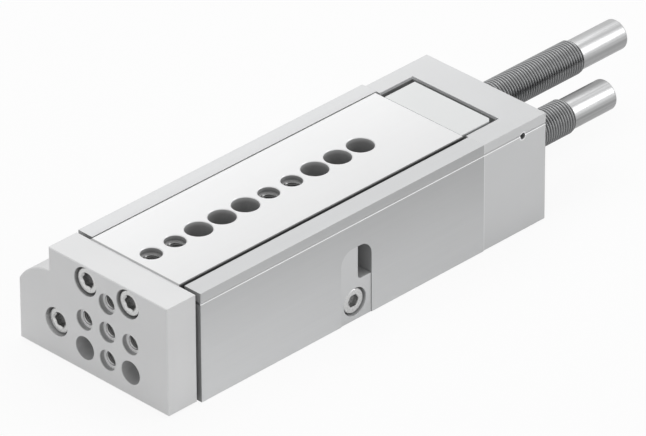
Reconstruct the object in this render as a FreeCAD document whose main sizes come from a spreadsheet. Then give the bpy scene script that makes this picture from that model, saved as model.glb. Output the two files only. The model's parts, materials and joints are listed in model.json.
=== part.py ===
import FreeCAD, Part
import os
import re
from math import sqrt

import Sketcher
from FreeCAD import Placement, Rotation, Vector

# Compact pneumatic slide table, retracted, stroke 50 mm.
# The origin lies on the base plane, midway between the two through-bolt holes of the
# housing.  +Z is up, the slide advances along -Y, and +X is the side with the stop block.

# Driving sizes in millimetres: cell alias, value, meaning.
SIZES = (
    ("hole_pitch", 10.0, "pitch of the fixing holes in slide and yoke"),
    ("first_hole_inset", 7.0, "front end of the slide to its first hole"),
    ("last_hole_inset", 26.1, "last hole to the rear end of the slide"),
    ("stroke", 50.0, "travel of the slide"),
    ("slide_width", 38.4, "width of the slide"),
    ("slide_thickness", 10.7, "thickness of the slide"),
    ("slide_stand", 0.45, "slide's top above the housing's deck"),
    ("side_gap", 0.9, "slide's side to the rail beside it"),
    ("floor_gap", 0.8, "slide's underside to the channel floor"),
    ("yoke_gap", 1.4, "yoke plate to the housing's front"),
    ("slide_end_gap", 1.2, "slide's rear end to the end cap"),
    ("deck_height", 38.55, "height of the housing"),
    ("housing_margin", 0.75, "housing's outline outside the yoke's"),
    ("yoke_right", 26.2, "yoke's right side from the hole row"),
    ("yoke_left", 25.4, "yoke's left side from the hole row"),
    ("yoke_foot", 38.8, "yoke's low left foot from the hole row"),
    ("yoke_thickness", 12.0, "thickness of the yoke plate"),
    ("yoke_lift", 0.7, "yoke's underside above the base plane"),
    ("shoulder_across", 24.5, "shoulder arc's centre, left of the hole row"),
    ("shoulder_height", 13.7, "shoulder arc's centre above the base plane"),
    ("shoulder_swell", 2.2, "shoulder arc's radius beyond its reach to the foot"),
    ("pattern_drop", 19.4, "yoke's top to the middle of its hole pattern"),
    ("lower_hole", 8.0, "plain through holes low in the yoke"),
    ("slide_screw_across", 9.2, "screws from yoke to slide, from the hole row"),
    ("slide_screw_height", 4.8, "the same screws above the slide's underside"),
    ("yoke_sink", 5.8, "depth of the yoke's two upper counterbores"),
    ("rod_screw_sink", 6.2, "depth of the counterbore for the piston rod's screw"),
    ("centring_bore", 7.0, "centring bores round the threads"),
    ("centring_depth", 1.8, "depth of the centring bores"),
    ("access_bore", 9.0, "plain holes in the slide above the through bolts"),
    ("bolt_hole", 5.5, "clearance hole for an M5 bolt"),
    ("bolt_seat", 6.0, "seat of the through bolt's head above the base"),
    ("head_bore", 9.8, "counterbore for an M5 head"),
    ("big_thread", 5.0, "M5 thread, on screws and in holes"),
    ("big_head", 8.5, "M5 screw head"),
    ("big_head_height", 5.0, "M5 screw head's height"),
    ("big_socket", 4.0, "M5 screw's socket across flats"),
    ("small_thread", 4.0, "M4 screw thread"),
    ("small_head", 7.0, "M4 screw head"),
    ("small_head_height", 4.0, "M4 screw head's height"),
    ("small_socket", 3.0, "M4 screw's socket across flats"),
    ("head_gap", 0.4, "small head's counterbore around the head"),
    ("grip", 12.0, "depth of a screw's thread hole"),
    ("thread_spare", 1.0, "thread hole beyond the screw's end"),
    ("rail_width", 3.5, "width of a guide rail"),
    ("rail_lip", 3.05, "housing lip above a guide rail"),
    ("roller_size", 3.0, "diameter of a guide roller"),
    ("roller_length", 2.8, "length of a guide roller"),
    ("race_gap", 0.1, "roller to each flank of its race"),
    ("roller_count", 7, "rollers in one cage"),
    ("roller_step", 10.0, "pitch of the rollers"),
    ("cage_thickness", 0.5, "thickness of the cage strip"),
    ("cage_height", 5.4, "height of the cage strip"),
    ("cage_end", 5.0, "cage strip beyond its last roller"),
    ("cage_play", 0.05, "roller in its cage window"),
    ("plate_thickness", 13.45, "length of the slide's end plate"),
    ("plate_inset", 0.8, "end plate's right side inside the slide's"),
    ("plate_wall", 7.0, "absorber axis to the end plate's left side and underside"),
    ("plate_gap", 2.5, "end plate to the back of the cap's opening"),
    ("plate_side_gap", 0.65, "end plate to the opening's right side"),
    ("plate_corner", 1.2, "chamfer at the end plate's rear right corner"),
    ("plate_screw_cover", 0.6, "metal above the counterbores of the end plate's screws"),
    ("plate_screw_shift", 1.6, "left end plate screw beyond the front absorber's axis"),
    ("plate_screw_inset", 4.9, "right end plate screw inside the plate's right side"),
    ("opening_left", 18.45, "opening's left side from the hole row"),
    ("cap_wall", 12.85, "rear wall of the end cap"),
    ("cap_lift", 0.2, "end cap's underside above the base plane"),
    ("cap_inset", 1.35, "end cap's left side inside the housing's"),
    ("cap_line_width", 0.8, "width of the end cap's side groove"),
    ("cap_screw_height", 7.2, "lower end cap screws above the base"),
    ("cap_screw_inset", 5.5, "right end cap screw inside the housing's side"),
    ("foot_screw_beside", 3.6, "left end cap screw beyond the cylinder bore"),
    ("foot_screw_drop", 1.0, "left end cap screw below the cylinder axis"),
    ("deep_gap", 0.8, "end plate to the deep channel"),
    ("absorber_drop", 4.1, "axes of both shock absorbers below the slide's underside"),
    ("advance_across", 8.1, "front absorber's axis, left of the hole row"),
    ("retract_inset", 2.85, "rear absorber's axis inside the end plate's right side"),
    ("absorber_thread", 11.8, "crest of the M12 x 1 absorber thread"),
    ("absorber_stroke", 10.0, "travel of an absorber's plunger"),
    ("advance_thread", 82.25, "threaded length of the front absorber"),
    ("retract_thread", 35.55, "threaded length of the rear absorber"),
    ("tail_size", 10.5, "diameter of an absorber's smooth tail"),
    ("advance_tail", 20.7, "tail length of the front absorber"),
    ("retract_tail", 19.3, "tail length of the rear absorber"),
    ("tail_round", 0.6, "rounding at the end of a tail"),
    ("absorber_gap", 0.8, "front absorber to the hole it passes through"),
    ("contact_gap", 0.2, "absorber's face to the stop it meets"),
    ("plunger_size", 4.0, "diameter of a plunger rod"),
    ("plunger_play", 0.05, "plunger rod in its guide"),
    ("plunger_length", 22.0, "length of a plunger rod"),
    ("tip_size", 5.0, "diameter of a plunger's tip"),
    ("tip_length", 3.0, "length of a plunger's tip"),
    ("tip_gap", 0.5, "tip to its recess in the absorber"),
    ("guide_spare", 1.0, "guide bore beyond a pressed plunger rod"),
    ("stop_room", 4.3, "end plate to the stop face when advanced"),
    ("stop_wall", 7.5, "stop block in front of its stop face"),
    ("window_width", 5.8, "window behind the stop face"),
    ("window_floor", 14.0, "floor of the window above the base"),
    ("window_round", 1.5, "inner corner of the window"),
    ("block_cover", 1.4, "channel floor above the stop block's pocket"),
    ("block_round", 5.0, "front top corner of the stop block"),
    ("pocket_round", 5.0, "rear top corner of the pocket"),
    ("block_recess", 0.25, "stop block's face inside the housing's side"),
    ("block_play", 0.05, "stop block in its pocket"),
    ("block_foot", 14.9, "housing's side to the foot of the pocket"),
    ("block_reach", 12.0, "stop block's arm beyond the hole row"),
    ("arm_height", 12.5, "underside of the stop block's arm"),
    ("block_screw_across", 6.2, "stop block's screw behind the block's front"),
    ("block_screw_height", 6.5, "stop block's screw above the base"),
    ("block_screw_sink", 5.6, "counterbore depth in the stop block"),
    ("bore_size", 16.0, "cylinder bore"),
    ("bore_across", 22.4, "cylinder axis, left of the hole row"),
    ("bore_height", 13.1, "cylinder axis above the base"),
    ("rod_size", 8.0, "diameter of the piston rod"),
    ("rod_play", 0.04, "piston rod in its bearing"),
    ("rod_spigot", 5.0, "piston rod's end inside the piston"),
    ("bearing_inset", 1.0, "rod bearing behind the housing's front"),
    ("bearing_length", 12.0, "length of the rod bearing"),
    ("ring_groove", 0.6, "depth of the retaining ring's groove"),
    ("ring_thickness", 0.8, "thickness of the retaining ring"),
    ("ring_clearance", 1.0, "retaining ring around the rod"),
    ("seal_length", 3.0, "length of the rod seal"),
    ("lip_depth", 1.8, "depth of the groove between the rod seal's lips"),
    ("piston_length", 14.0, "length of the piston"),
    ("piston_play", 0.05, "piston in its bore"),
    ("piston_groove", 1.8, "depth of the piston's grooves"),
    ("piston_seal_inset", 2.0, "piston's front to its seal"),
    ("piston_seal_width", 2.5, "width of the piston seal"),
    ("magnet_inset", 7.0, "piston's front to its magnet"),
    ("magnet_width", 4.0, "width of the magnet"),
    ("magnet_play", 0.3, "magnet inside the piston's skirt"),
    ("piston_nut", 8.0, "piston nut across flats"),
    ("nut_height", 3.2, "height of the piston nut"),
    ("rod_end", 1.0, "piston rod beyond its nut"),
    ("rear_chamber", 4.1, "rod's end to the cylinder plug"),
    ("plug_length", 10.0, "length of the cylinder plug"),
    ("ring_inset", 1.8, "plug's front to its sealing ring's groove"),
    ("ring_width", 2.4, "width of that groove"),
    ("ring_cord", 1.7, "square section of the plug's sealing ring"),
    ("ring_play", 0.05, "sealing ring to its groove and to the bore"),
    ("front_port", 19.8, "front air port behind the housing's front"),
    ("rear_port", 14.2, "rear air port before the housing's rear"),
    ("slot_bore", 4.2, "round sensor slot"),
    ("slot_mouth", 2.6, "mouth of a sensor slot"),
    ("slot_inset", 2.6, "sensor slot's axis inside the foot's side"),
    ("slot_low", 4.5, "lower sensor slot above the base"),
    ("slot_high", 18.5, "upper sensor slot above the base"),
    ("line_drop", 3.75, "side groove below the deck"),
    ("line_width", 0.7, "width of the side groove"),
    ("line_depth", 0.5, "depth of the side groove"),
    ("peg_hole", 2.2, "small blind hole in the end cap's side"),
    ("peg_inset", 2.6, "the same hole behind the opening"),
    ("peg_depth", 6.0, "depth of the small blind hole"),
    ("edge_break", 0.3, "broken outer edges"),
    ("hole_break", 0.25, "broken edges of holes"),
)

# Places and sizes that follow from the driving ones, in the order they are worked out.
DERIVED = {
    "row_start": "-5.5 * hole_pitch",
    "row_end": "row_start + 9 * hole_pitch",
    "slide_front": "row_start - first_hole_inset",
    "slide_back": "row_end + last_hole_inset",
    "slide_length": "slide_back - slide_front",
    "yoke_front": "slide_front - yoke_thickness",
    "housing_front": "slide_front + yoke_gap",
    "housing_back": "slide_back + slide_end_gap",
    "housing_length": "housing_back - housing_front",
    "plate_back": "slide_back + plate_thickness",
    "opening_back": "plate_back + plate_gap",
    "cap_back": "opening_back + cap_wall",
    "slide_half": "slide_width / 2",
    "slide_top": "deck_height + slide_stand",
    "slide_under": "slide_top - slide_thickness",
    "channel_floor": "slide_under - floor_gap",
    "channel_half": "slide_half + side_gap",
    "recess_half": "channel_half + rail_width",
    "lip_under": "deck_height - rail_lip",
    "race_height": "(channel_floor + lip_under) / 2",
    "race_across": "(slide_half + channel_half) / 2",
    "race_reach": "(roller_size + 2 * race_gap) / sqrt(2)",
    "housing_right": "yoke_right + housing_margin",
    "housing_left": "yoke_left + housing_margin",
    "housing_foot": "yoke_foot + housing_margin",
    "shoulder_radius": "yoke_foot - shoulder_across + shoulder_swell",
    "pattern_height": "deck_height - pattern_drop",
    "slide_screw_level": "slide_under + slide_screw_height",
    "absorber_height": "slide_under - absorber_drop",
    "plate_left": "advance_across + plate_wall",
    "plate_right": "slide_half - plate_inset",
    "retract_across": "plate_right - retract_inset",
    "plate_under": "absorber_height - plate_wall",
    "deep_floor": "plate_under - deep_gap",
    "deep_left": "plate_left + deep_gap",
    "deep_right": "plate_right + deep_gap",
    "stop_face": "slide_back - stroke - stop_room",
    "block_front": "stop_face - stop_wall",
    "block_back": "stop_face + window_width",
    "block_top": "channel_floor - block_cover",
    "block_step": "housing_right - block_foot",
    "block_screw_along": "block_front + block_screw_across",
    "absorber_radius": "absorber_thread / 2",
    "advance_face": "stop_face + stroke + contact_gap",
    "retract_face": "plate_back + contact_gap",
    "advance_end": "advance_face + advance_thread",
    "retract_end": "retract_face + retract_thread",
    "cage_length": "(roller_count - 1) * roller_step + 2 * cage_end",
    "cage_middle": "(housing_front + slide_back) / 2",
    "plug_front": "housing_back - plug_length",
    "rod_back": "plug_front - rear_chamber",
    "piston_back": "rod_back - rod_end - nut_height",
    "piston_front": "piston_back - piston_length",
    "base_hole_across": "2.5 * hole_pitch",
    "line_height": "deck_height - line_drop",
}

doc = FreeCAD.newDocument("slide_table")
sheet = doc.addObject("Spreadsheet::Sheet", "Sizes")
for line, (alias, size, meaning) in enumerate(SIZES, 1):
    sheet.set("A%d" % line, alias)
    sheet.set("B%d" % line, "%g" % size)
    sheet.set("C%d" % line, meaning)
    sheet.setAlias("B%d" % line, alias)
doc.recompute()
CELLS = {alias for alias, size, meaning in SIZES}
NODES = []
WORD = re.compile(r"[a-z]+_[a-z_]+|stroke|grip")


def expand(formula):
    """The formula with each name replaced by its cell, or by its own formula in brackets."""
    def written_out(match):
        name = match.group(0)
        if name in CELLS:
            return "Sizes." + name
        return "(" + expand(DERIVED[name]) + ")"
    return WORD.sub(written_out, str(formula))


def number(formula):
    """The formula's present value."""
    return float(sheet.evalExpression(expand(formula)))


def bind(thing, setting, formula):
    """Tie one property of an object to a formula of the sheet's sizes."""
    thing.setExpression(setting, expand(formula))


def place(thing, across=0, along=0, up=0, turn=None):
    """Put an object at formulas for X, Y and Z, after an optional turn."""
    thing.Placement = Placement(Vector(), turn or Rotation())
    for setting, formula in (("x", across), ("y", along), ("z", up)):
        bind(thing, ".Placement.Base." + setting, formula)
    return thing


def keep(thing, name):
    """Give an object its node's name and keep it for export."""
    thing.Label = name
    NODES.append(thing)
    return thing


def new_body(name, across=0, along=0, up=0, turn=None):
    body = doc.addObject("PartDesign::Body", "Body_" + name)
    place(body, across, along, up, turn)
    return keep(body, name)


def new_sketch(body, name, plane, offset=0):
    """A sketch on one of the body's own planes, moved along that plane's normal."""
    sketch = body.newObject("Sketcher::SketchObject", body.Label + "_" + name)
    planes = [item for item in body.Origin.OriginFeatures if item.Role == plane + "_Plane"]
    sketch.AttachmentSupport = [(planes[0], "")]
    sketch.MapMode = "FlatFace"
    bind(sketch, "AttachmentOffset.Base.z", offset)
    return sketch


def fix(sketch, kind, geometry, point, formula):
    """One named and bound distance of a point from the sketch's origin."""
    index = sketch.addConstraint(
        Sketcher.Constraint(kind, -1, 1, geometry, point, number(formula)))
    name = "%s_%d_%d" % (kind, geometry, point)
    sketch.renameConstraint(index, name)
    bind(sketch, "Constraints." + name, formula)


def fix_radius(sketch, geometry, formula):
    index = sketch.addConstraint(Sketcher.Constraint("Radius", geometry, number(formula)))
    name = "Radius_%d" % geometry
    sketch.renameConstraint(index, name)
    bind(sketch, "Constraints." + name, formula)


def outline(body, name, plane, corners, offset=0, arcs=None):
    """A closed outline through corners given as formulas.

    arcs maps a corner's index to (centre across, centre up, radius): the edge from that
    corner to the next is then an arc, bulging outwards of an outline drawn anticlockwise.
    A corner's second formula is None where the arc itself sets it.
    """
    sketch = new_sketch(body, name, plane, offset)
    arcs = arcs or {}
    count = len(corners)
    points = [Vector(number(a), 0 if b is None else number(b), 0) for a, b in corners]
    for index, (across, up, radius) in arcs.items():
        centre = Vector(number(across), number(up), 0)
        for end in (index, (index + 1) % count):
            if corners[end][1] is None:
                reach = points[end].x - centre.x
                points[end].y = centre.y + sqrt(number(radius) ** 2 - reach ** 2)
    for index in range(count):
        first = points[index]
        second = points[(index + 1) % count]
        if index in arcs:
            across, up, radius = arcs[index]
            centre = Vector(number(across), number(up), 0)
            circle = Part.Circle(centre, Vector(0, 0, 1), number(radius))
            sketch.addGeometry(
                Part.ArcOfCircle(circle, circle.parameter(first), circle.parameter(second)))
        else:
            sketch.addGeometry(Part.LineSegment(first, second))
    for index in range(count):
        sketch.addConstraint(
            Sketcher.Constraint("Coincident", index, 2, (index + 1) % count, 1))
    for index, (across, up) in enumerate(corners):
        before = (index - 1) % count
        ends_arc = before in arcs
        # An arc with a fixed centre and radius leaves one free value at each end.
        if index in arcs or ends_arc:
            arc = arcs[index] if index in arcs else arcs[before]
            level = abs(points[index].y - number(arc[1])) < 1e-6
            fix(sketch, *(("DistanceY", index, 1, up) if level and up is not None
                          else ("DistanceX", index, 1, across)))
        else:
            fix(sketch, "DistanceX", index, 1, across)
            fix(sketch, "DistanceY", index, 1, up)
    for index, (across, up, radius) in arcs.items():
        fix(sketch, "DistanceX", index, 3, across)
        fix(sketch, "DistanceY", index, 3, up)
        fix_radius(sketch, index, radius)
    return sketch


def circles(body, name, plane, radius, centres, offset=0):
    """Equal circles round centres given as formulas."""
    sketch = new_sketch(body, name, plane, offset)
    for index, (across, up) in enumerate(centres):
        centre = Vector(number(across), number(up), 0)
        sketch.addGeometry(Part.Circle(centre, Vector(0, 0, 1), number(radius)))
        fix(sketch, "DistanceX", index, 3, across)
        fix(sketch, "DistanceY", index, 3, up)
        fix_radius(sketch, index, radius)
    return sketch


def pad(body, sketch, length, other_way=False):
    """Material along the sketch's normal, or against it."""
    feature = body.newObject("PartDesign::Pad", sketch.Name + "_pad")
    feature.Profile = sketch
    feature.Reversed = other_way
    bind(feature, "Length", length)
    return finish(body, sketch, feature, 1)


def pocket(body, sketch, depth, other_way=False):
    """A cut against the sketch's normal, or along it."""
    feature = body.newObject("PartDesign::Pocket", sketch.Name + "_pocket")
    feature.Profile = sketch
    feature.Reversed = other_way
    bind(feature, "Length", depth)
    return finish(body, sketch, feature, -1)


def revolve(body, sketch):
    feature = body.newObject("PartDesign::Revolution", sketch.Name + "_turned")
    feature.Profile = sketch
    feature.ReferenceAxis = (sketch, ["V_Axis"])
    feature.Angle = 360
    return finish(body, sketch, feature, 1)


def finish(body, sketch, feature, sign):
    """Recompute, and stop if the feature added or cut nothing."""
    before = 0 if feature.BaseFeature is None else feature.BaseFeature.Shape.Volume
    sketch.Visibility = False
    doc.recompute()
    change = feature.Shape.Volume - before
    if change * sign <= 0:
        raise ValueError(feature.Name + " changed nothing")
    return feature


def repeat(body, features, axis, step, count):
    """A straight pattern of features along one of the body's own axes."""
    pattern = body.newObject("PartDesign::LinearPattern", body.Label + "_" + axis + "_row")
    lines = [item for item in body.Origin.OriginFeatures if item.Role == axis + "_Axis"]
    pattern.Originals = features
    pattern.Direction = (lines[0], [""])
    pattern.Occurrences = count
    bind(pattern, "Length", "(%d - 1) * (%s)" % (count, step))
    body.Tip = pattern
    doc.recompute()
    return pattern


def edges_where(shape, test):
    """Names of the edges whose end points and middle all pass a test."""
    chosen = []
    for index, edge in enumerate(shape.Edges, 1):
        middle = edge.valueAt((edge.FirstParameter + edge.LastParameter) / 2)
        points = [vertex.Point for vertex in edge.Vertexes] + [middle]
        if all(test(point) for point in points):
            chosen.append("Edge%d" % index)
    return chosen


def near(value, formula):
    return abs(value - number(formula)) < 1e-4


def chamfer(body, edges, size):
    base = body.Tip
    feature = body.newObject("PartDesign::Chamfer", body.Label + "_chamfer")
    feature.Base = (base, edges)
    bind(feature, "Size", size)
    doc.recompute()
    return feature


def turned(name, corners, across, up, along=0, turn=None):
    """A turned piece: corners are (radius, distance along +Y) round an axis parallel to Y."""
    body = new_body(name, across, along, up, turn)
    revolve(body, outline(body, "section", "XY", corners))
    return body


def block(name, low, high):
    """A plain box between two corners given as formulas."""
    box = doc.addObject("Part::Box", "Box_" + name)
    place(box, *low)
    for setting, start, end in zip(("Length", "Width", "Height"), low, high):
        bind(box, setting, "(%s) - (%s)" % (end, start))
    box.Label = name
    return box


def round_bar(name, radius, length, across, along, up, turn=None):
    """A plain cylinder, along +Z until it is turned."""
    bar = doc.addObject("Part::Cylinder", "Bar_" + name)
    bind(bar, "Radius", radius)
    bind(bar, "Height", length)
    place(bar, across, along, up, turn)
    bar.Label = name
    return bar


def boolean(kind, name, first, second):
    result = doc.addObject("Part::" + kind, kind + "_" + name)
    result.Base = first
    result.Tool = second
    return result


ALONG_Y = Rotation(Vector(1, 0, 0), -90)
ALONG_X = Rotation(Vector(0, 1, 0), 90)
BACKWARDS = Rotation(Vector(0, 0, 1), 180)
SIDEWAYS = Rotation(Vector(0, 0, 1), 90)


def cap_screw(name, size, length, across, along, up, turn=None):
    """A socket head cap screw that points along +Y, its head's face at the given place."""
    sink = size + "_head_height"
    corners = (
        (0, 0), (size + "_head / 2", 0), (size + "_head / 2", sink), (size + "_thread / 2", sink),
        (size + "_thread / 2", sink + " + " + length), (0, sink + " + " + length))
    body = turned(name, corners, across, up, along, turn)
    pocket(body, outline(body, "socket", "XZ", hexagon(size + "_socket")), sink + " / 2")
    return body


def hexagon(across_flats):
    """Corners of a regular hexagon round the sketch's origin."""
    return [("%s / sqrt(3) * cos(%d)" % (across_flats, 60 * corner),
             "%s / sqrt(3) * sin(%d)" % (across_flats, 60 * corner)) for corner in range(6)]


def group(name, members):
    """Equal pieces that share one node."""
    for member in members:
        NODES.remove(member)
    compound = doc.addObject("Part::Compound", "Group_" + name)
    compound.Links = members
    return keep(compound, name)


def make_housing():
    """The extruded housing: guide channel, deep channel, cylinder bore and stop pocket."""
    body = new_body("housing")
    line_top = "line_height + line_width / 2"
    line_foot = "line_height - line_width / 2"
    side = [("housing_right", line_foot), ("housing_right - line_depth", line_top),
            ("housing_right", line_top)]
    channel = [("channel_half", "deck_height"), ("channel_half", "lip_under"),
               ("recess_half", "lip_under"), ("recess_half", "channel_floor")]
    channel += [("-" + across, up) for across, up in reversed(channel)]
    corners = [("housing_right", 0)] + side
    corners += [("housing_right", "deck_height")] + channel
    corners += [("-housing_left", "deck_height"), ("-housing_left", None),
                ("-housing_foot", None), ("-housing_foot", 0)]
    shoulder = ("-shoulder_across", "shoulder_height", "shoulder_radius + housing_margin")
    profile = outline(body, "profile", "XZ", corners, "-housing_front",
                      {len(corners) - 3: shoulder})
    pad(body, profile, "housing_length", other_way=True)

    deep = [("deep_right", "deep_floor"), ("deep_right", "slide_under"),
            ("-deep_left", "slide_under"), ("-deep_left", "absorber_height"),
            ("-advance_across", "deep_floor")]
    round_floor = ("-advance_across", "absorber_height", "plate_wall + deep_gap")
    pocket(body, outline(body, "deep_channel", "XZ", deep, "contact_gap - stop_face",
                         {3: round_floor}), "cap_back - stop_face")

    pocket(body, pocket_outline(body, "foot_pocket", "-block_play", 0, "housing_right"),
           "block_foot")
    pocket(body, pocket_outline(body, "arm_pocket", "arm_height", 0, "block_step + block_recess"),
           "block_step + block_recess + block_reach")
    pocket(body, circles(body, "block_thread", "YZ", "big_thread / 2",
                         [("block_screw_along", "block_screw_height")], "block_step"), "grip")

    cylinder = [("-bore_across", "bore_height")]
    pocket(body, circles(body, "bore", "XZ", "bore_size / 2", cylinder, "-housing_front"),
           "housing_length")
    pocket(body, circles(body, "ring_groove", "XZ", "bore_size / 2 + ring_groove", cylinder,
                         "-housing_front - bearing_inset"), "ring_thickness")
    for port in ("housing_front + front_port", "housing_back - rear_port"):
        pocket(body, circles(body, "port", "YZ", "big_thread / 2", [(port, "bore_height")],
                             "-housing_foot"), "housing_foot - bore_across", other_way=True)
    for slot in ("slot_low", "slot_high"):
        centre = "slot_inset - housing_foot"
        pocket(body, circles(body, slot, "XZ", "slot_bore / 2", [(centre, slot)],
                             "-housing_front"), "housing_length")
        low = slot + " - slot_mouth / 2"
        high = slot + " + slot_mouth / 2"
        outside = "-housing_foot - housing_margin"
        mouth = [(centre, low), (centre, high), (outside, high), (outside, low)]
        pocket(body, outline(body, slot + "_mouth", "XZ", mouth, "-housing_front"),
               "housing_length")

    bolts = [(0, "-base_hole_across"), (0, "base_hole_across")]
    pocket(body, circles(body, "bolt_holes", "XY", "bolt_hole / 2", bolts, "channel_floor"),
           "channel_floor")
    pocket(body, circles(body, "bolt_heads", "XY", "access_bore / 2", bolts, "channel_floor"),
           "channel_floor - bolt_seat")
    pocket(body, circles(body, "bolt_centring", "XY", "centring_bore / 2", bolts),
           "centring_depth", other_way=True)
    pocket(body, circles(body, "cap_threads", "XZ", "small_thread / 2", cap_screw_places(),
                         "-housing_back"), "grip", other_way=True)
    return body


def pocket_outline(body, name, under, play, offset):
    """The arched side view of the stop block or, with no play, of its pocket."""
    front = "block_front + %s" % play
    back = "block_back - %s" % play
    top = "block_top - %s" % play
    corners = [(back, under), (back, top + " - pocket_round"), (back + " - pocket_round", top),
               (front + " + block_round", top), (front, top + " - block_round"),
               (front, under)]
    arcs = {1: (back + " - pocket_round", top + " - pocket_round", "pocket_round"),
            3: (front + " + block_round", top + " - block_round", "block_round")}
    return outline(body, name, "YZ", corners, offset, arcs)


def cap_screw_places():
    """Three end cap screws: below the stop, below the channel and beside the bore."""
    return [("housing_right - cap_screw_inset", "cap_screw_height"),
            ("-advance_across", "cap_screw_height"),
            ("-bore_across - bore_size / 2 - foot_screw_beside", "bore_height - foot_screw_drop")]


def make_stop_block():
    """The stop block: a foot with its screw, an arm across the channel and the window."""
    body = new_body("stop_block")
    face = "housing_right - block_recess"
    pad(body, pocket_outline(body, "foot", "0", "block_play", face),
        face + " - block_step - block_play", other_way=True)
    pad(body, pocket_outline(body, "arm", "arm_height + block_play", "block_play",
                             "block_step + block_play"),
        "block_step + block_reach", other_way=True)
    behind = "block_back + pocket_round"
    window = [(behind, "window_floor"), (behind, "channel_floor"),
              ("stop_face", "channel_floor"), ("stop_face", "window_floor + window_round"),
              ("stop_face + window_round", "window_floor")]
    arc = {3: ("stop_face + window_round", "window_floor + window_round", "window_round")}
    pocket(body, outline(body, "window", "YZ", window, face, arc),
           face + " + block_reach + block_foot")
    place_of_screw = [("block_screw_along", "block_screw_height")]
    pocket(body, circles(body, "screw_hole", "YZ", "bolt_hole / 2", place_of_screw, face),
           "block_foot")
    pocket(body, circles(body, "screw_head", "YZ", "head_bore / 2", place_of_screw, face),
           "block_screw_sink")
    screw = cap_screw("stop_block_screw", "big", face + " - block_screw_sink - block_step"
                      " + grip / 2", face + " - block_screw_sink + big_head_height",
                      "block_screw_along", "block_screw_height", SIDEWAYS)
    return body, screw


def make_rails_and_cages():
    """Both guide rails, with crossed rollers in cages between them and the slide.

    Rail and slide each have a square V race, so that race meets race in a square on its
    corner.  The rollers lie across it by turns, one leaning left and the next right.
    """
    for side, sign in (("left", "-1"), ("right", "1")):
        near_side = "min(%s * channel_half; %s * recess_half)" % (sign, sign)
        strip = block(side + "_rail_strip", (near_side, "housing_front", "channel_floor"),
                      (near_side + " + rail_width", "housing_back", "lip_under"))
        middle = sign + " * race_across"
        race = doc.addObject("Part::Prism", "Race_" + side)
        race.Polygon = 4
        bind(race, "Circumradius", "race_reach")
        bind(race, "Height", "housing_length")
        place(race, middle, "housing_front", "race_height", ALONG_Y)
        race.Label = side + "_race"
        keep(boolean("Cut", side + "_rail", strip, race), side + "_guide_rail")

        low = middle + " - cage_thickness / 2"
        start = "cage_middle - cage_length / 2"
        strip = block(side + "_cage_strip", (low, start, "race_height - cage_height / 2"),
                      (low + " + cage_thickness", start + " + cage_length",
                       "race_height + cage_height / 2"))
        rollers = []
        windows = []
        wide = "(roller_size / 2 + cage_play)"
        high = "((roller_size + roller_length) / sqrt(8) + cage_play)"
        for index in range(int(number("roller_count"))):
            along = "cage_middle + (%d - (roller_count - 1) / 2) * roller_step" % index
            lean = 1 if index % 2 else -1
            rollers.append(round_bar(
                "%s_roller_%d" % (side, index), "roller_size / 2", "roller_length",
                "%s - %d * roller_length / sqrt(8)" % (middle, lean), along,
                "race_height - roller_length / sqrt(8)", Rotation(Vector(0, 1, 0), 45 * lean)))
            windows.append(block(
                "%s_window_%d" % (side, index),
                (low + " - cage_thickness", "%s - %s" % (along, wide), "race_height - " + high),
                (low + " + 2 * cage_thickness", "%s + %s" % (along, wide),
                 "race_height + " + high)))
        tools = doc.addObject("Part::Compound", side + "_windows")
        tools.Links = windows
        keep(boolean("Cut", side + "_cage", strip, tools), side + "_roller_cage")
        row = doc.addObject("Part::Compound", side + "_rollers")
        row.Links = rollers
        keep(row, side + "_guide_rollers")


def make_slide():
    """The slide: roller races in its sides, ten holes along its top, a groove underneath."""
    body = new_body("slide")
    corners = [("slide_half", "slide_under"), ("slide_half", "slide_top"),
               ("-slide_half", "slide_top"), ("-slide_half", "slide_under")]
    pad(body, outline(body, "profile", "XZ", corners, "-slide_front"), "slide_length",
        other_way=True)
    for side, across in (("left", "-race_across"), ("right", "race_across")):
        race = [(across + " + race_reach", "race_height"),
                (across, "race_height + race_reach"),
                (across + " - race_reach", "race_height"),
                (across, "race_height - race_reach")]
        pocket(body, outline(body, side + "_race", "XZ", race, "-slide_front"), "slide_length")
    groove_start = "advance_face - absorber_stroke - absorber_gap"
    pocket(body, circles(body, "absorber_groove", "XZ", "absorber_radius + absorber_gap / 2",
                         [("-advance_across", "absorber_height")], "-(%s)" % groove_start),
           "slide_back - (%s)" % groove_start)
    screws = [("-slide_screw_across", "slide_screw_level"),
              ("slide_screw_across", "slide_screw_level")]
    pocket(body, circles(body, "yoke_threads", "XZ", "big_thread / 2", screws,
                         "-slide_front"), "grip")
    pocket(body, circles(body, "plate_threads", "XZ", "small_thread / 2",
                         plate_screw_places(), "-slide_back"), "grip", other_way=True)
    threads = [(0, "row_start"), (0, "row_start + hole_pitch")]
    plain = [(0, "row_start + %d * hole_pitch" % index) for index in (2, 3, 4)]
    cuts = [
        pocket(body, circles(body, "centring", "XY", "centring_bore / 2", threads,
                             "slide_top"), "centring_depth"),
        pocket(body, circles(body, "threads", "XY", "big_thread / 2", threads,
                             "slide_top"), "slide_thickness"),
        pocket(body, circles(body, "plain", "XY", "access_bore / 2", plain, "slide_top"),
               "slide_thickness")]
    repeat(body, cuts, "Y", "5 * hole_pitch", 2)
    rims = edges_where(body.Shape, lambda point: near(point.z, "slide_top"))
    chamfer(body, rims, "hole_break")
    return body


def plate_screw_places():
    """Screws from the end plate into the slide, above the absorber and level with it."""
    level = "slide_top - plate_screw_cover - head_gap / 2 - small_head / 2"
    return [("-advance_across - plate_screw_shift", level),
            ("plate_right - plate_screw_inset", level)]


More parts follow.
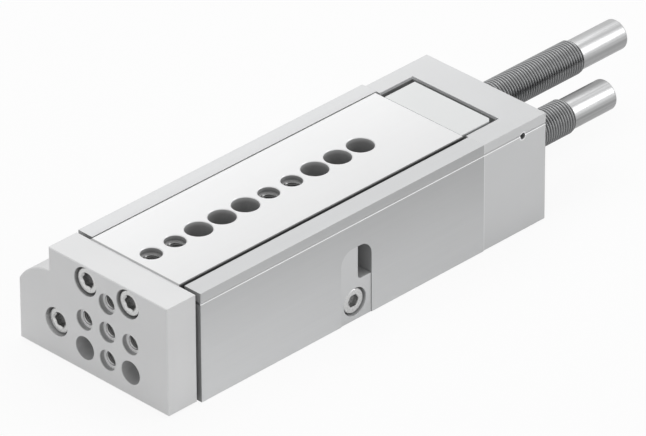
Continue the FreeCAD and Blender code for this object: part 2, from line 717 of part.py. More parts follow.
def make_end_plate():
    """The slide's end plate: it carries the front absorber and meets the rear one."""
    body = new_body("slide_end_plate")
    corners = [("plate_right", "plate_under"), ("plate_right", "slide_top"),
               ("-plate_left", "slide_top"), ("-plate_left", "absorber_height"),
               ("-advance_across", "plate_under")]
    arc = {3: ("-advance_across", "absorber_height", "plate_wall")}
    pad(body, outline(body, "profile", "XZ", corners, "-slide_back", arc),
        "plate_thickness", other_way=True)
    corner = edges_where(body.Shape, lambda point: near(point.x, "plate_right")
                         and near(point.y, "plate_back"))
    chamfer(body, corner, "plate_corner")
    pocket(body, circles(body, "absorber_thread", "XZ", "absorber_radius",
                         [("-advance_across", "absorber_height")], "-slide_back"),
           "plate_thickness")
    screws = plate_screw_places()
    sink = "small_head_height + head_gap"
    pocket(body, circles(body, "screw_holes", "XZ", "small_thread / 2 + head_gap / 2",
                         screws, "-plate_back"), "plate_thickness", other_way=True)
    pocket(body, circles(body, "screw_heads", "XZ", "small_head / 2 + head_gap / 2", screws,
                         "-plate_back"), sink, other_way=True)
    length = "plate_thickness - (%s) + grip - thread_spare" % sink
    group("end_plate_screws", [
        cap_screw("end_plate_screw_%d" % index, "small", length, across,
                  "plate_back - head_gap", level, BACKWARDS)
        for index, (across, level) in enumerate(screws)])
    return body


def make_end_cap():
    """The end cap: open above for the slide's end plate, holes for both absorbers."""
    body = new_body("end_cap")
    left = "housing_left - cap_inset"
    foot = "housing_foot - cap_inset"
    line = "cap_line_width / 2"
    corners = [("housing_right", "cap_lift"), ("housing_right", "line_height - " + line),
               ("housing_right - line_depth", "line_height + " + line),
               ("housing_right", "line_height + " + line), ("housing_right", "deck_height"),
               ("-(%s)" % left, "deck_height"), ("-(%s)" % left, None),
               ("-(%s)" % foot, None), ("-(%s)" % foot, "cap_lift")]
    shoulder = ("-shoulder_across", "shoulder_height",
                "shoulder_radius + housing_margin - cap_inset")
    pad(body, outline(body, "profile", "XZ", corners, "-housing_back",
                      {len(corners) - 3: shoulder}), "cap_back - housing_back",
        other_way=True)
    right = "plate_right + plate_side_gap"
    opening = [(right, "deep_floor"), (right, "slide_top"),
               ("-opening_left", "slide_top"), ("-opening_left", "deep_floor")]
    pocket(body, outline(body, "opening", "XZ", opening, "-housing_back"),
           "opening_back - housing_back")
    pocket(body, circles(body, "advance_hole", "XZ", "absorber_radius + absorber_gap",
                         [("-advance_across", "absorber_height")], "-opening_back"),
           "cap_wall")
    pocket(body, circles(body, "retract_thread", "XZ", "absorber_radius",
                         [("retract_across", "absorber_height")], "-plate_back"),
           "cap_back - plate_back")
    screws = cap_screw_places()
    sink = "cap_back - opening_back - head_gap"
    pocket(body, circles(body, "screw_holes", "XZ", "small_thread / 2 + head_gap / 2",
                         screws, "-cap_back"), "cap_back - housing_back", other_way=True)
    pocket(body, circles(body, "screw_heads", "XZ", "small_head / 2 + head_gap / 2", screws,
                         "-cap_back"), sink, other_way=True)
    pocket(body, circles(body, "peg_hole", "YZ", "peg_hole / 2",
                         [("opening_back + peg_inset", "line_height - line_width / 2")],
                         "housing_right"), "peg_depth")
    pocket(body, circles(body, "set_screw_hole", "XY", "small_thread / 2",
                         [("retract_across", set_screw_along())], "cap_lift"),
           "absorber_height - absorber_radius", other_way=True)
    seat = "opening_back + head_gap"
    length = seat + " - housing_back + grip - thread_spare"
    group("end_cap_screws", [
        cap_screw("end_cap_screw_%d" % index, "small", length, across,
                  seat + " + small_head_height", level, BACKWARDS)
        for index, (across, level) in enumerate(screws)])
    return body


def set_screw_along():
    return "(opening_back + cap_back) / 2"


def make_set_screw():
    """The set screw that clamps the rear absorber from below."""
    under = new_body("absorber_set_screw", "retract_across", set_screw_along(),
                     "absorber_height - absorber_radius - grip")
    pad(under, circles(under, "shank", "XY", "small_thread / 2", [(0, 0)]), "grip")
    return under


def make_yoke():
    """The yoke plate: centring bores in a cross, three counterbores, two plain holes."""
    body = new_body("yoke_plate")
    corners = [("yoke_right", "yoke_lift"), ("yoke_right", "deck_height"),
               ("-yoke_left", "deck_height"), ("-yoke_left", None),
               ("-yoke_foot", None), ("-yoke_foot", "yoke_lift")]
    shoulder = ("-shoulder_across", "shoulder_height", "shoulder_radius")
    pad(body, outline(body, "profile", "XZ", corners, "-yoke_front",
                      {len(corners) - 3: shoulder}), "yoke_thickness", other_way=True)
    rims = edges_where(body.Shape, lambda point: near(point.y, "yoke_front"))
    chamfer(body, rims, "edge_break")
    cross = [(0, "pattern_height"), (0, "pattern_height + hole_pitch"),
             (0, "pattern_height - hole_pitch"), ("hole_pitch", "pattern_height"),
             ("-hole_pitch", "pattern_height")]
    lower = [("hole_pitch", "pattern_height - hole_pitch"),
             ("-hole_pitch", "pattern_height - hole_pitch")]
    rod_screw = [("-bore_across", "bore_height")]
    cuts = (("centring", "centring_bore / 2", cross, "centring_depth"),
            ("threads", "big_thread / 2", cross, "yoke_thickness"),
            ("lower_holes", "lower_hole / 2", lower, "yoke_thickness"),
            ("head_bores", "head_bore / 2", yoke_screw_places(), "yoke_sink"),
            ("rod_head_bore", "head_bore / 2", rod_screw, "rod_screw_sink"),
            ("screw_holes", "bolt_hole / 2", yoke_screw_places() + rod_screw, "yoke_thickness"))
    for name, radius, centres, depth in cuts:
        pocket(body, circles(body, name, "XZ", radius, centres, "-yoke_front"), depth)
    length = "yoke_thickness - %s + grip - thread_spare"
    head = "yoke_front + %s - big_head_height"
    group("yoke_to_slide_screws", [
        cap_screw("yoke_screw_%d" % index, "big", length % "yoke_sink", across,
                  head % "yoke_sink", level)
        for index, (across, level) in enumerate(yoke_screw_places())])
    cap_screw("piston_rod_screw", "big", length % "rod_screw_sink", "-bore_across",
              head % "rod_screw_sink", "bore_height")
    return body


def yoke_screw_places():
    return [("-slide_screw_across", "slide_screw_level"),
            ("slide_screw_across", "slide_screw_level")]


def make_cylinder():
    """The cylinder in the housing's foot: rod, piston, bearing, seals and rear plug."""
    axis = ("-bore_across", "bore_height")
    rod = "rod_size / 2"
    spigot = "rod_spigot / 2"
    bore = "bore_size / 2"
    thread = "big_thread / 2"
    hole_end = "slide_front + grip"
    turned("piston_rod", (
        (thread, "slide_front"), (rod + " - edge_break", "slide_front"),
        (rod, "slide_front + edge_break"), (rod, "piston_front"), (spigot, "piston_front"),
        (spigot, "rod_back"), (0, "rod_back"), (0, hole_end), (thread, hole_end)), *axis)
    ring = "bearing_inset + housing_front"
    bearing = ring + " + ring_thickness"
    bearing_end = bearing + " + bearing_length"
    bush = rod + " + rod_play"
    turned("rod_retaining_ring", (
        (rod + " + ring_clearance", ring), (bore + " + ring_groove", ring),
        (bore + " + ring_groove", bearing), (rod + " + ring_clearance", bearing)), *axis)
    turned("rod_bearing", (
        (bush, bearing), (bore, bearing), (bore, bearing_end), (bush, bearing_end)), *axis)
    lip = bearing_end + " + seal_length"
    turned("rod_seal", (
        (bush, bearing_end), (bore, bearing_end), (bore, lip),
        ("(rod_size + bore_size) / 4", lip + " - lip_depth"), (bush, lip)), *axis)

    skirt = bore + " - piston_play"
    groove = bore + " - piston_groove"
    seal_front = "piston_front + piston_seal_inset"
    seal = (seal_front, seal_front + " + piston_seal_width")
    magnet_front = "piston_front + magnet_inset"
    magnet = (magnet_front, magnet_front + " + magnet_width")
    turned("piston", (
        (spigot, "piston_front"), (skirt, "piston_front"), (skirt, seal[0]),
        (groove, seal[0]), (groove, seal[1]), (skirt, seal[1]), (skirt, magnet[0]),
        (groove, magnet[0]), (groove, magnet[1]), (skirt, magnet[1]),
        (skirt, "piston_back"), (spigot, "piston_back")), *axis)
    turned("piston_seal", (
        (groove, seal[0]), (skirt, seal[0]), (skirt, seal[1]), (groove, seal[1])), *axis)
    face = skirt + " - magnet_play"
    turned("piston_magnet", (
        (groove, magnet[0]), (face, magnet[0]), (face, magnet[1]), (groove, magnet[1])), *axis)
    nut = new_body("piston_nut", "-bore_across", 0, "bore_height")
    pad(nut, outline(nut, "flats", "XZ", hexagon("piston_nut"), "-piston_back"), "nut_height",
        other_way=True)
    pocket(nut, circles(nut, "thread", "XZ", spigot, [(0, 0)], "-piston_back"),
           "nut_height")

    front = "plug_front + ring_inset"
    back = front + " + ring_width"
    ring_inside = bore + " - ring_play - ring_cord"
    groove_floor = ring_inside + " - ring_play"
    turned("cylinder_plug", (
        (0, "plug_front"), (bore, "plug_front"), (bore, front), (groove_floor, front),
        (groove_floor, back), (bore, back), (bore, "housing_back"), (0, "housing_back")),
        *axis)
    ring_face = bore + " - ring_play"
    ring_front = front + " + (ring_width - ring_cord) / 2"
    ring_back = ring_front + " + ring_cord"
    turned("plug_sealing_ring", (
        (ring_inside, ring_front), (ring_face, ring_front), (ring_face, ring_back),
        (ring_inside, ring_back)), *axis)


def make_absorber(name, across, face, thread, tail, extended):
    """One shock absorber: threaded body, smooth tail, plunger rod and its tip.

    extended is how far the tip stands out of the body's front face with the slide retracted.
    """
    axis = (across, "absorber_height")
    crest = "absorber_radius"
    guide = "plunger_size / 2 + plunger_play"
    mouth = "tip_size / 2 + tip_gap"
    end = face + " + " + thread
    shoulder = face + " + tip_length + contact_gap"
    guide_end = shoulder + " + plunger_length + guide_spare"
    turned(name + "_absorber", (
        (mouth, face), (crest, face), (crest, end + " - edge_break"),
        (crest + " - edge_break", end), (0, end),
        (0, guide_end), (guide, guide_end), (guide, shoulder), (mouth, shoulder)), *axis)
    tail_end = end + " + " + tail
    turned(name + "_absorber_tail", (
        (0, end), ("tail_size / 2", end), ("tail_size / 2", tail_end + " - tail_round"),
        ("tail_size / 2 - tail_round", tail_end), (0, tail_end)), *axis)
    nose = face + " - " + extended
    rod_start = nose + " + tip_length"
    turned(name + "_plunger_rod", (
        (0, rod_start), ("plunger_size / 2", rod_start),
        ("plunger_size / 2", rod_start + " + plunger_length"),
        (0, rod_start + " + plunger_length")), *axis)
    turned(name + "_plunger_tip", (
        (0, nose), ("tip_size / 2", nose), ("tip_size / 2", rod_start), (0, rod_start)), *axis)


def export_all():
    """Check every object and write one STEP file for each node."""
    doc.recompute()
    failed = [item.Name for item in doc.Objects
              if "Invalid" in item.State or "Error" in item.State]
    if failed:
        raise ValueError("failed objects: " + ", ".join(failed))
    os.makedirs("parts", exist_ok=True)
    for node in NODES:
        shape = node.Shape
        if shape.isNull() or not shape.isValid() or not shape.Solids:
            raise ValueError("bad shape: " + node.Label)
        shape.exportStep("parts/%s.step" % node.Label)
        print("%-24s %d solids %10.1f mm3" % (node.Label, len(shape.Solids), shape.Volume))


make_housing()
make_end_cap()
make_stop_block()
make_rails_and_cages()
make_slide()
make_end_plate()
make_yoke()
make_set_screw()
make_cylinder()
make_absorber("advance", "-advance_across", "advance_face", "advance_thread",
              "advance_tail", "absorber_stroke")
make_absorber("retract", "retract_across", "retract_face", "retract_thread",
              "retract_tail", "0")
export_all()
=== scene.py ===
import json
from collections import namedtuple
from math import pi, radians

import bmesh
import bpy
import numpy as np
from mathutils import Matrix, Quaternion, Vector


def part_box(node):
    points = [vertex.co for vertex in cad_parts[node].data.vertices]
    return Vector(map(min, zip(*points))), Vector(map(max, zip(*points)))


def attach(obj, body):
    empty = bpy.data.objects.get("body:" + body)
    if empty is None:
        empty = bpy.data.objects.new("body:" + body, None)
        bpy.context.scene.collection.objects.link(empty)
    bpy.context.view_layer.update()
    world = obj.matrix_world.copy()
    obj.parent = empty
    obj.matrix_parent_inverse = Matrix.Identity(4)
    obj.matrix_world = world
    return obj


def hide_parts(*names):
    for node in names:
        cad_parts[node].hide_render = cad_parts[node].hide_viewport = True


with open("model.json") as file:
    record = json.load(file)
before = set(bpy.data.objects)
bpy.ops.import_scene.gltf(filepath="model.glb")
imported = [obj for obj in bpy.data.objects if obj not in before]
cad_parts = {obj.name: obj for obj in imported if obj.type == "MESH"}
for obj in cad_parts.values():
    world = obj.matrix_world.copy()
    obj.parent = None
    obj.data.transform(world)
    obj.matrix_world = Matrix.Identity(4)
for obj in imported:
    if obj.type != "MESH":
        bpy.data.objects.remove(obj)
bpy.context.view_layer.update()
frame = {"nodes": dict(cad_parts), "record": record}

# A compact pneumatic slide table on a pale floor, seen from its front right corner.
# Across is X, to the right.  Along is Y, to the rear.  Up is Z.

MM = 0.001

# The camera, as fitted to the photograph: angles in degrees, lengths in metres.
AZIMUTH, ELEVATION, ROLL = 45.0207, 31.2309, 0.2623
AIM = Vector((0.01851, 0.0, 0.03549))
DISTANCE = 2.3987
LENS_MM, SENSOR_MM = 437.48, 36.0


class Shade:
    """A socket of a material, used in plain sums: each operator adds one Math node."""

    def __init__(self, tree, socket=None):
        self.tree = tree
        self.socket = socket

    def node(self, kind, settings=None, inputs=None, output=0):
        """Any node: settings first, then a value or link for each socket, by name or number."""
        made = self.tree.nodes.new(kind)
        for name, value in (settings or {}).items():
            setattr(made, name, value)
        for name, value in (inputs or {}).items():
            if isinstance(value, Shade):
                self.tree.links.new(value.socket, made.inputs[name])
            else:
                made.inputs[name].default_value = value
        return Shade(self.tree, made.outputs[output])

    def math(self, operation, *values):
        return self.node("ShaderNodeMath", {"operation": operation}, dict(enumerate(values)))

    def outputs(self, *names):
        """Named outputs of the node that this socket belongs to."""
        return [Shade(self.tree, self.socket.node.outputs[name]) for name in names]

    def __add__(self, other):
        return self.math("ADD", self, other)

    def __sub__(self, other):
        return self.math("SUBTRACT", self, other)

    def __rsub__(self, other):
        return self.math("SUBTRACT", other, self)

    def __mul__(self, other):
        return self.math("MULTIPLY", self, other)

    def __abs__(self):
        return self.math("ABSOLUTE", self)

    __radd__ = __add__
    __rmul__ = __mul__


def greater(first, second):
    return first.math("MAXIMUM", first, second)


def distance(first, second):
    """The square root of the sum of two squares."""
    total = first * first + second * second
    return total.math("SQRT", total)


# Where a point lies on its piece, in metres, and which way the surface looks there: each part
# of facing runs from -1, looking away from that side, to 1, looking straight at it.
Place = namedtuple("Place", "across along up")
Facing = namedtuple("Facing", "right rear top")


def parts_of(vector):
    return vector.node("ShaderNodeSeparateXYZ", None, {0: vector}).outputs("X", "Y", "Z")


def place_in(tree):
    return Place(*parts_of(Shade(tree).node("ShaderNodeTexCoord", output="Object")))


def facing_in(tree):
    return Facing(*parts_of(Shade(tree).node("ShaderNodeTexCoord", output="Normal")))


# The width over which a mask that follows a shape goes from 0 to 1.
BLUR = 0.05 * MM


def rise(value, start, end):
    """0 up to start and 1 from end on, in a straight line between; end may be the lower."""
    return value.node("ShaderNodeMapRange", None, {0: value, 1: start, 2: end, 3: 0.0, 4: 1.0})


def plainly(side):
    """1 on faces that look straight to a side or nearly so, 0 on the others."""
    return rise(side, 0.8, 0.9)


def within(value, low, high):
    """1 between low and high, 0 outside."""
    return rise(value, low, low + BLUR) * rise(value, high, high - BLUR)


def boxed(place, low, high):
    """1 inside a box given by two corners, 0 outside."""
    floor_plan = within(place.across, low[0], high[0]) * within(place.along, low[1], high[1])
    return floor_plan * within(place.up, low[2], high[2])


# Patterns in the finishes.  Brushed lines are drawn out along Y, and bands of them are some
# lines wide.  Blasted metal has a fine grit, and wide clouds lie over both.  Every edge is
# broken by a small radius.
DRAWN_OUT = (1.0, 0.012, 1.0)
LINES_IN_BAND = 9
BRUSHED_CLOUD, BLASTED_CLOUD = 30 * MM, 18 * MM
GRIT = 0.25 * MM
EDGE_BREAK = 0.12 * MM


def grain(tree, size, stretch=(1, 1, 1), detail=2.0, rough=0.5):
    """Noise from 0 to 1 whose lumps are about size metres wide, drawn out along an axis where
    stretch is small."""
    place = Shade(tree).node("ShaderNodeTexCoord", output="Object")
    stretched = place.node("ShaderNodeMapping", None, {"Vector": place, "Scale": stretch})
    return place.node("ShaderNodeTexNoise", {"noise_dimensions": "3D"},
                      {"Vector": stretched, "Scale": 1 / size, "Detail": detail,
                       "Roughness": rough})


def tinted(colour, amount):
    """A colour made lighter or darker: each channel times a changing amount."""
    grey = amount.node("ShaderNodeCombineColor", None,
                       {"Red": amount, "Green": amount, "Blue": amount})
    mixed_colour = 2        # the Mix node's outputs are a number, a vector and a colour
    return amount.node("ShaderNodeMix", {"data_type": "RGBA", "blend_type": "MULTIPLY"},
                       {"Factor": 1.0, "A": (*colour, 1), "B": grey}, output=mixed_colour)


def new_material(name, colour, metallic, roughness):
    """A material with its plain values on the shader; returns it, its shader and its tree."""
    material = bpy.data.materials.new(name)
    material.use_nodes = True
    tree = material.node_tree
    shader = tree.nodes["Principled BSDF"]
    shader.inputs["Base Color"].default_value = (*colour, 1)
    shader.inputs["Metallic"].default_value = metallic
    shader.inputs["Roughness"].default_value = roughness
    return material, shader, tree


def feed(shader, name, value):
    shader.id_data.links.new(value.socket, shader.inputs[name])


def bump(height, depth):
    """A normal from a height pattern that stands depth metres proud, over broken edges."""
    broken = height.node("ShaderNodeBevel", {"samples": 4}, {"Radius": EDGE_BREAK})
    return height.node("ShaderNodeBump", None, {"Strength": 1.0, "Distance": depth,
                                                "Height": height, "Normal": broken})


def brushed(name, colour, metallic, roughness, line, swing, depth, tone=None, cloud=0.03,
            fineness=3.0, gloss_swing=0.16):
    """Metal with fine lines along Y: they vary colour, gloss and height.

    line is a line's width in metres and depth its height.  swing is how much the lines vary
    the colour, gloss_swing how much they vary the roughness, cloud how much wide clouds vary
    the colour, and fineness the detail of the noise.  On faces across the lines, where they
    would be dots, they fade out.
    """
    material, shader, tree = new_material(name, colour, metallic, roughness)
    shown = rise(abs(facing_in(tree).rear), 0.9, 0.6)
    lines = grain(tree, line, DRAWN_OUT, fineness, 0.6)
    bands = grain(tree, line * LINES_IN_BAND, DRAWN_OUT)
    clouds = grain(tree, BRUSHED_CLOUD)
    streaks = (lines - 0.5 + (bands - 0.5) * 0.5) * swing
    amount = 1 + streaks * shown + (clouds - 0.5) * cloud
    if tone:
        amount = amount * tone(tree)
    feed(shader, "Base Color", tinted(colour, amount))
    feed(shader, "Roughness", roughness + (lines - 0.5) * shown * gloss_swing)
    feed(shader, "Normal", bump(lines, depth))
    return material


def blasted(name, colour, metallic, roughness, swing=0.05, tone=None):
    """Matte metal: an even fine grain, which varies the colour by swing, with faint clouds."""
    material, shader, tree = new_material(name, colour, metallic, roughness)
    grit = grain(tree, GRIT, detail=4.0)
    clouds = grain(tree, BLASTED_CLOUD)
    amount = 1 + (grit - 0.5) * swing + (clouds - 0.5) * 0.05
    if tone:
        amount = amount * tone(tree)
    feed(shader, "Base Color", tinted(colour, amount))
    feed(shader, "Roughness", roughness + (grit - 0.5) * 0.12)
    feed(shader, "Normal", bump(grit, 0.006 * MM))
    return material


def soft_stuff(name, colour, roughness, lump):
    """Rubber or plastic: a dull colour with a fine moulded grain."""
    material, shader, tree = new_material(name, colour, 0.0, roughness)
    grit = grain(tree, lump, detail=3.0)
    feed(shader, "Base Color", tinted(colour, 1 + (grit - 0.5) * 0.3))
    feed(shader, "Roughness", roughness + (grit - 0.5) * 0.2)
    feed(shader, "Normal", bump(grit, 0.01 * MM))
    return material


# Tones.  A tone multiplies a finish's colour: 1 leaves it as it is.  Each mask in a tone is
# multiplied by the share that it adds or takes away where it is 1.  Most of these masks paint
# light and shade into the colour.

# How deep below an aluminium piece's faces the painted shade of its recesses starts.
# Below the tops of housing and end cap, in their channel and opening, it starts deeper.
SHADE_INSET = 0.3 * MM
CHANNEL_SHADE_INSET, OPENING_SHADE_INSET = 1.2 * MM, 1.0 * MM

# The shoulder over the cylinder, an arc about an axis along Y, and the wall that rises from it.
SHOULDER_ACROSS, SHOULDER_HEIGHT = -24.5 * MM, 13.7 * MM
SHOULDER_RADIUS = {"housing": 17.25 * MM, "end_cap": 15.9 * MM, "yoke_plate": 16.5 * MM}
WALL_ACROSS = {"housing": -26.15 * MM, "end_cap": -24.8 * MM, "yoke_plate": -25.4 * MM}

# Half the width of the upward faces, across which their painted shade grows, and heights: the
# corner between shoulder and wall, where shade is painted, and the lower flank of the side
# groove, whose outermost strip gets a painted highlight.
DECK_HALF = 24 * MM
CORNER_FOOT, CORNER_TOP = 28 * MM, 32 * MM
FLANK_FOOT, FLANK_TOP = 34.3 * MM, 35.3 * MM
STRIP_START, STRIP_FULL = 0.14 * MM, 0.10 * MM

# The small blind hole in the end cap's side, on the groove's centre line, with a painted
# highlight round it.
PEG_ALONG, PEG_UP, PEG_RADIUS = 79.65 * MM, 34.45 * MM, 1.1 * MM

# The upper edge of the cap's opening, whose walls are painted lighter there: its left, right
# and rear side and its depth.
BRINK_LEFT, BRINK_RIGHT, BRINK_REAR, BRINK_DEPTH = -18.6 * MM, 22.5 * MM, 77.2 * MM, 1.1 * MM

# The row of holes in the slide's top, from the slide's front end.
FIRST_HOLE, HOLE_PITCH = 7 * MM, 10 * MM


def inside(tree, node, top_inset=SHADE_INSET):
    """1 deeper than a thin layer under the faces of an extruded outline, 0 in that layer: where
    painted shade goes in recesses.

    The outline is a box right of the wall and an arc left of it, both made smaller by the
    layer's depth.
    """
    low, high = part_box(node)
    place = place_in(tree)
    wall = WALL_ACROSS[node] + SHADE_INSET
    body = boxed(place, (wall, low.y + SHADE_INSET, low.z + SHADE_INSET),
                 (high.x - SHADE_INSET, high.y - SHADE_INSET, high.z - top_inset))
    reach = distance(place.across - SHOULDER_ACROSS, place.up - SHOULDER_HEIGHT)
    radius = SHOULDER_RADIUS[node] - SHADE_INSET
    foot = boxed(place, (low.x + SHADE_INSET, low.y + SHADE_INSET, low.z + SHADE_INSET),
                 (wall + 2 * SHADE_INSET, high.y - SHADE_INSET, high.z))
    return greater(body, foot * rise(reach, radius, radius - BLUR))


def painted_recess_light_and_shade(mask, along_hole, wall_tone, floor_tone):
    """Painted shade in recesses behind the faces: a tone for walls, and one for floors that look
    along the hole, which may paint them lighter.  Outside the mask the tone is 1."""
    floor = rise(abs(along_hole), 0.85, 0.95)
    return 1 - mask * (1 - wall_tone - floor * (floor_tone - wall_tone))


def painted_shade_to_right(place, facing):
    """Upward faces, more and more from left to right: where tops are painted darker to the right.
    """
    return plainly(facing.top) * rise(place.across, -DECK_HALF, DECK_HALF)


def painted_corner_shade(place, facing):
    """The stretch of the shoulder in the corner below the wall, where shade is painted."""
    return rise(facing.top, 0.90, 0.99) * within(place.up, CORNER_FOOT, CORNER_TOP)


def painted_groove_light_and_shade(place, facing, edge):
    """The side groove: a painted highlight on its outermost strip, and painted shade on the flank
    inwards of it.
    """
    painted_flank = within(place.up, FLANK_FOOT, FLANK_TOP) * rise(facing.right, 0.95, 0.85)
    return painted_flank * (rise(place.across, edge - STRIP_START, edge - STRIP_FULL) * 0.75 - 0.35)


def housing_tone(tree):
    """A lighter ground deck, and painted light and shade: sides painted lighter downwards and
    forwards, tops painted darker to the right, a painted highlight on the groove edge and the
    channel lip, and painted shade in the groove, in the shoulder's corner, on the front end and
    inside the channel and the bores, whose floors and walls that look right are painted lighter."""
    low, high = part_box("housing")
    place, facing = place_in(tree), facing_in(tree)
    deck = plainly(facing.top) * rise(place.up, high.z - 0.3 * MM, high.z - 0.2 * MM)
    downwards = rise(place.up, high.z, low.z)
    forwards = rise(place.along, high.y, low.y)
    # Painted light on the sides: lighter downwards and forwards, darker near the top.
    painted_flank = plainly(abs(facing.right)) * (downwards * 0.37 + forwards * 0.20 - 0.28)
    # Painted shade on faces that look to the front.
    painted_front_shade = rise(facing.rear, -0.8, -0.9)
    # The upper strip of the channel's left wall, where light is painted.
    painted_lip_light = (rise(place.up, high.z - 1.3 * MM, high.z - 1.0 * MM) * plainly(facing.right)
           * rise(place.across, -10 * MM, -12 * MM))
    tone = (1 + deck * 0.18 - painted_shade_to_right(place, facing) * 0.18 + painted_flank - painted_front_shade * 0.4
            + painted_groove_light_and_shade(place, facing, high.x) - painted_corner_shade(place, facing) * 0.35 + painted_lip_light * 0.9)
    # Painted shade inside the channel and the bores, with painted light on their floors and on
    # their walls that look right.
    painted_recess_mask = inside(tree, "housing", CHANNEL_SHADE_INSET)
    return (tone * painted_recess_light_and_shade(painted_recess_mask, facing.rear, 0.62, 1.1)
            * (1 + painted_recess_mask * plainly(facing.right) * 0.5))


def cap_tone(tree):
    """The end cap: plain skin, with painted light and shade: painted highlights on its front
    edge, round the peg hole and on the opening's walls below its upper edge, tops painted darker
    to the right, the groove's painted highlight and shade, and painted shade in the shoulder's
    corner and low in its opening.
    """
    low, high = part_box("end_cap")
    place, facing = place_in(tree), facing_in(tree)
    # A painted highlight along the front edge of the sides.
    painted_front_edge = (rise(place.along, low.y + 0.4 * MM, low.y + 0.25 * MM)
                  * plainly(facing.right))
    # A painted highlight round the peg hole.
    peg_reach = distance(place.along - PEG_ALONG, place.up - PEG_UP)
    painted_peg_highlight = (rise(peg_reach, PEG_RADIUS + 0.5 * MM, PEG_RADIUS + 0.4 * MM)
               * rise(facing.right, 0.5, 0.7))
    # Painted light on the opening's walls below its upper edge.
    painted_brink_light = boxed(place, (BRINK_LEFT, low.y, high.z - BRINK_DEPTH),
                  (BRINK_RIGHT, BRINK_REAR, high.z - BLUR))
    tone = (0.94 + plainly(facing.top) * 0.08 - painted_shade_to_right(place, facing) * 0.11
            + painted_groove_light_and_shade(place, facing, high.x) - painted_corner_shade(place, facing) * 0.2
            + painted_front_edge * 0.16 + painted_peg_highlight * 0.35 + painted_brink_light * 0.5)
    # Painted shade low in the opening.
    return tone * painted_recess_light_and_shade(inside(tree, "end_cap", OPENING_SHADE_INSET), facing.rear, 0.48, 0.6)


def yoke_tone(tree):
    """The yoke: plain skin with painted light that makes it lighter downwards, painted shade on
    the walls of its bores, less in the two plain holes below, and seats painted lighter."""
    place = place_in(tree)
    # Painted light that grows downwards.
    tone = 1 + rise(place.up, 26 * MM, 2 * MM) * 0.07
    plain_holes = rise(place.up, 13.5 * MM, 13.2 * MM) * rise(abs(place.across), 5 * MM, 5.5 * MM)
    # Painted shade on the bores' walls, less in the plain holes, and painted light on the seats.
    return tone * painted_recess_light_and_shade(inside(tree, "yoke_plate"), facing_in(tree).rear,
                            0.52 + plain_holes * 0.28, 1.3)


def slide_tone(tree):
    """The slide: a ground top, with painted light and shade: long sides painted nearly black with
    shade, the top painted darker to the right and along its front edge, and painted shade in
    the bores that darkens downwards, the small ones more."""
    low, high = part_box("slide")
    place, facing = place_in(tree), facing_in(tree)
    shade_top = high.z - SHADE_INSET
    below = rise(place.up, shade_top, shade_top - BLUR)
    # Painted shade that makes the long sides nearly black.
    side = rise(abs(facing.right), 0.3, 0.5) * rise(abs(place.across), 8 * MM, 9 * MM)
    # Painted shade along the front edge of the top.
    painted_front_edge = (rise(place.along, low.y + 0.5 * MM, low.y + 0.3 * MM)
                  * rise(facing.top, 0.4, 0.6))
    tone = 1 - painted_shade_to_right(place, facing) * 0.17 - painted_front_edge * 0.5
    # How far a point lies from the nearest hole's axis; the small bores end at 3.5 mm.
    along_hole = place.along.math("PINGPONG", place.along - low.y - FIRST_HOLE, HOLE_PITCH / 2)
    small_bore = rise(distance(place.across, along_hole), 4.0 * MM, 3.7 * MM)
    # Painted shade on the bores' walls, darker downwards and darker in the small bores.
    wall = 0.8 - rise(place.up, shade_top, high.z - 1.8 * MM) * 0.36 - small_bore * 0.22
    return tone * painted_recess_light_and_shade(below, facing.top, wall, 0.42) * (1 - side * 0.86)


def plate_tone(tree):
    """The slide's end plate: painted shade on its sides, and its top painted darker to the right.
    """
    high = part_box("slide_end_plate")[1]
    place = place_in(tree)
    # Painted shade below the top.
    painted_side_shade = rise(place.up, high.z - SHADE_INSET, high.z - 2 * SHADE_INSET)
    return (1 - painted_side_shade * 0.6) * (1 - painted_shade_to_right(place, facing_in(tree)) * 0.08)


def block_tone(tree):
    """The stop block: painted shade on all but its outer face, in its window and screw seat."""
    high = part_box("stop_block")[1]
    # Painted shade on everything behind the outer face.
    return 1 - rise(place_in(tree).across, high.x - SHADE_INSET, high.x - 2 * SHADE_INSET) * 0.12


def painted_hollow_shade(tree):
    """Painted shade: darker towards the root of a thread or the floor of a socket, by the piece's
    own mark.
    """
    painted_shade_mark = Shade(tree).node("ShaderNodeAttribute", {"attribute_name": "painted_shade_mark"}, output="Fac")
    return 1 - painted_shade_mark * 0.88


def thread_tone(tree):
    """The absorbers' threads: painted shade in the roots and on the lower side, and painted light
    on the upper side.
    """
    top = facing_in(tree).top
    # Painted shade below and painted light above, by which way the surface faces.
    return painted_hollow_shade(tree) * (1 - rise(top, 0.0, -0.5) * 0.2 + rise(top, 0.6, 0.85) * 0.4)


def tail_tone(tree):
    """The absorbers' tails: painted shade on their lower half and painted dark reflections on
    their upper left, where the right tail has a wider painted dark streak."""
    facing = facing_in(tree)
    lower = rise(facing.top, 0.35, 0.1)
    upper = rise(facing.top, 0.5, 0.7)
    upper_left = upper * rise(facing.right, 0.2, -0.3)
    right_tail = rise(place_in(tree).across, 4 * MM, 5 * MM)
    painted_dark_streak = right_tail * upper * rise(facing.right, 0.45, 0.0)
    # Painted shade on the lower half, painted dark reflections on the upper left.
    return 1 - lower * 0.3 - upper_left * 0.25 - painted_dark_streak * 0.35


